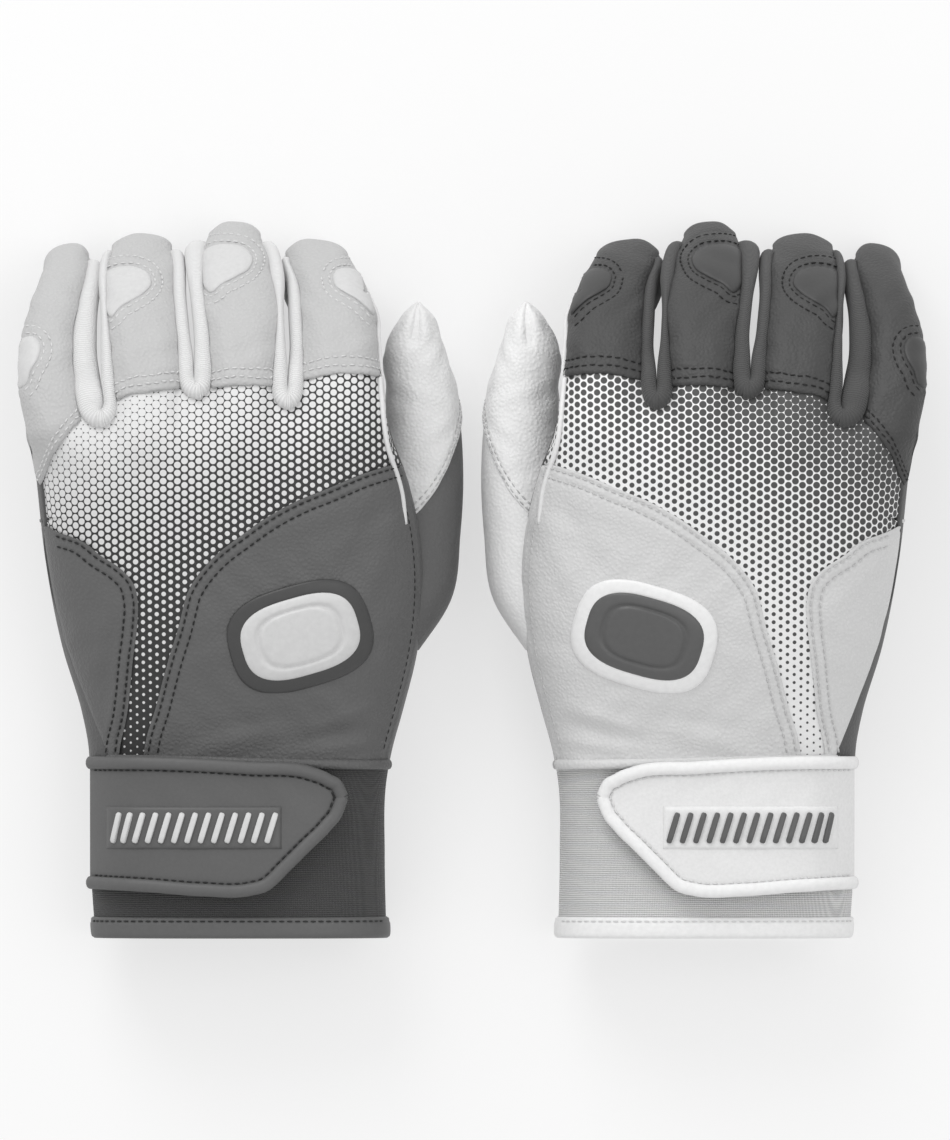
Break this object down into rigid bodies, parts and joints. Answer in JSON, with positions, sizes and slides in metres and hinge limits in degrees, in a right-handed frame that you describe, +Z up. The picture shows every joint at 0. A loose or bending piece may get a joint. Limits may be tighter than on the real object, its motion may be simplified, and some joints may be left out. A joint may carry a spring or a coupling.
{
  "type": "batting gloves",
  "caption": "Pair of full-finger batting gloves with curled leather fingers, stretch fourchettes, printed back panel, badge pad, knit cuff and a hook-and-loop wrist strap",
  "frame": {"origin": "under the middle of the pair's box, on the table", "axes": "+Y towards the fingertips, +Z up from the backs of the hands, +X from the left glove to the right one"},
  "size_m": [0.2598, 0.2076, 0.069],
  "materials": {
    "left_fingers": "soft grained finger leather",
    "left_panel": "pebbled leather",
    "left_printed": "stretch fabric with a printed dot pattern",
    "left_gusset": "ribbed stretch knit",
    "left_palm": "smooth palm leather",
    "left_thumb": "soft leather",
    "left_cuff": "ribbed knit cuff",
    "left_trim": "woven binding",
    "left_strap": "moulded rubber skin on fabric",
    "left_mark": "raised moulded rubber",
    "left_pad": "hook and loop tape",
    "right_fingers": "soft grained finger leather",
    "right_panel": "pebbled leather",
    "right_printed": "stretch fabric with a printed dot pattern",
    "right_gusset": "ribbed stretch knit",
    "right_palm": "smooth palm leather",
    "right_thumb": "soft leather",
    "right_cuff": "ribbed knit cuff",
    "right_trim": "woven binding",
    "right_strap": "moulded rubber skin on fabric",
    "right_mark": "raised moulded rubber",
    "right_pad": "hook and loop tape"
  },
  "bodies": {
    "left_hand": {"left_palm_leather": "left_palm", "left_printed_back_panel": "left_printed", "left_thumb_side_panel": "left_panel", "left_outer_side_panel": "left_panel", "left_badge_base": "left_panel", "left_badge_face": "left_mark", "left_cuff_band": "left_cuff", "left_cuff_binding": "left_trim", "left_loop_pad": "left_pad", "left_thumb_base": "left_thumb", "left_fourchette_index_middle": "left_gusset", "left_fourchette_middle_ring": "left_gusset", "left_fourchette_ring_little": "left_gusset", "left_index_finger_back": "left_fingers", "left_middle_finger_back": "left_fingers", "left_ring_finger_back": "left_fingers", "left_little_finger_back": "left_fingers"},
    "left_index": {"left_index_fingertip": "left_fingers", "left_index_knuckle_insert": "left_fingers"},
    "left_middle": {"left_middle_fingertip": "left_fingers", "left_middle_knuckle_insert": "left_fingers"},
    "left_ring": {"left_ring_fingertip": "left_fingers", "left_ring_knuckle_insert": "left_fingers"},
    "left_little": {"left_little_fingertip": "left_fingers", "left_little_knuckle_insert": "left_fingers"},
    "left_thumb": {"left_thumb_tip": "left_thumb"},
    "left_strap": {"left_strap_tab": "left_strap", "left_strap_edge": "left_trim", "left_strap_grip": "left_mark", "left_hook_pad": "left_pad"},
    "right_hand": {"right_palm_leather": "right_palm", "right_printed_back_panel": "right_printed", "right_thumb_side_panel": "right_panel", "right_outer_side_panel": "right_panel", "right_badge_base": "right_panel", "right_badge_face": "right_mark", "right_cuff_band": "right_cuff", "right_cuff_binding": "right_trim", "right_loop_pad": "right_pad", "right_thumb_base": "right_thumb", "right_fourchette_index_middle": "right_gusset", "right_fourchette_middle_ring": "right_gusset", "right_fourchette_ring_little": "right_gusset", "right_index_finger_back": "right_fingers", "right_middle_finger_back": "right_fingers", "right_ring_finger_back": "right_fingers", "right_little_finger_back": "right_fingers"},
    "right_index": {"right_index_fingertip": "right_fingers", "right_index_knuckle_insert": "right_fingers"},
    "right_middle": {"right_middle_fingertip": "right_fingers", "right_middle_knuckle_insert": "right_fingers"},
    "right_ring": {"right_ring_fingertip": "right_fingers", "right_ring_knuckle_insert": "right_fingers"},
    "right_little": {"right_little_fingertip": "right_fingers", "right_little_knuckle_insert": "right_fingers"},
    "right_thumb": {"right_thumb_tip": "right_thumb"},
    "right_strap": {"right_strap_tab": "right_strap", "right_strap_edge": "right_trim", "right_strap_grip": "right_mark", "right_hook_pad": "right_pad"}
  },
  "joints": [
    {"name": "left_index_flex", "type": "hinge", "parent": "left_hand", "child": "left_index", "pos_m": [-0.04225, 0.0732, 0.0385], "axis": [-1, 0, 0], "range_deg": [-30, 40], "stiffness_Nm_per_rad": 0.06, "deforming": ["left_index_knuckle_insert"]},
    {"name": "left_middle_flex", "type": "hinge", "parent": "left_hand", "child": "left_middle", "pos_m": [-0.0689, 0.07707, 0.03922], "axis": [-1, 0, 0], "range_deg": [-30, 40], "stiffness_Nm_per_rad": 0.06, "deforming": ["left_middle_knuckle_insert"]},
    {"name": "left_ring_flex", "type": "hinge", "parent": "left_hand", "child": "left_ring", "pos_m": [-0.09488, 0.07449, 0.04076], "axis": [-1, 0, 0], "range_deg": [-30, 40], "stiffness_Nm_per_rad": 0.06, "deforming": ["left_ring_knuckle_insert"]},
    {"name": "left_little_flex", "type": "hinge", "parent": "left_hand", "child": "left_little", "pos_m": [-0.11848, 0.0732, 0.03807], "axis": [-1, 0, 0], "range_deg": [-30, 40], "stiffness_Nm_per_rad": 0.06, "deforming": ["left_little_knuckle_insert"]},
    {"name": "left_thumb_flex", "type": "hinge", "parent": "left_hand", "child": "left_thumb", "pos_m": [-0.01451, 0.03621, 0.02213], "axis": [-1, 0, 0], "range_deg": [-15, 25], "stiffness_Nm_per_rad": 0.06},
    {"name": "left_strap_open", "type": "hinge", "parent": "left_hand", "child": "left_strap", "pos_m": [-0.1146, -0.07179, 0.0304], "axis": [0, -1, 0], "range_deg": [0, 110]},
    {"name": "right_glove_lift", "type": "slide", "parent": "left_hand", "child": "right_hand", "axis": [0, 0, 1], "range_m": [0, 0.15]},
    {"name": "right_index_flex", "type": "hinge", "parent": "right_hand", "child": "right_index", "pos_m": [0.04225, 0.0732, 0.0385], "axis": [-1, 0, 0], "range_deg": [-30, 40], "stiffness_Nm_per_rad": 0.06, "deforming": ["right_index_knuckle_insert"]},
    {"name": "right_middle_flex", "type": "hinge", "parent": "right_hand", "child": "right_middle", "pos_m": [0.0689, 0.07707, 0.03922], "axis": [-1, 0, 0], "range_deg": [-30, 40], "stiffness_Nm_per_rad": 0.06, "deforming": ["right_middle_knuckle_insert"]},
    {"name": "right_ring_flex", "type": "hinge", "parent": "right_hand", "child": "right_ring", "pos_m": [0.09488, 0.07449, 0.04076], "axis": [-1, 0, 0], "range_deg": [-30, 40], "stiffness_Nm_per_rad": 0.06, "deforming": ["right_ring_knuckle_insert"]},
    {"name": "right_little_flex", "type": "hinge", "parent": "right_hand", "child": "right_little", "pos_m": [0.11848, 0.0732, 0.03807], "axis": [-1, 0, 0], "range_deg": [-30, 40], "stiffness_Nm_per_rad": 0.06, "deforming": ["right_little_knuckle_insert"]},
    {"name": "right_thumb_flex", "type": "hinge", "parent": "right_hand", "child": "right_thumb", "pos_m": [0.01451, 0.03621, 0.02213], "axis": [-1, 0, 0], "range_deg": [-15, 25], "stiffness_Nm_per_rad": 0.06},
    {"name": "right_strap_open", "type": "hinge", "parent": "right_hand", "child": "right_strap", "pos_m": [0.1146, -0.07179, 0.0304], "axis": [0, 1, 0], "range_deg": [0, 110]}
  ]
}
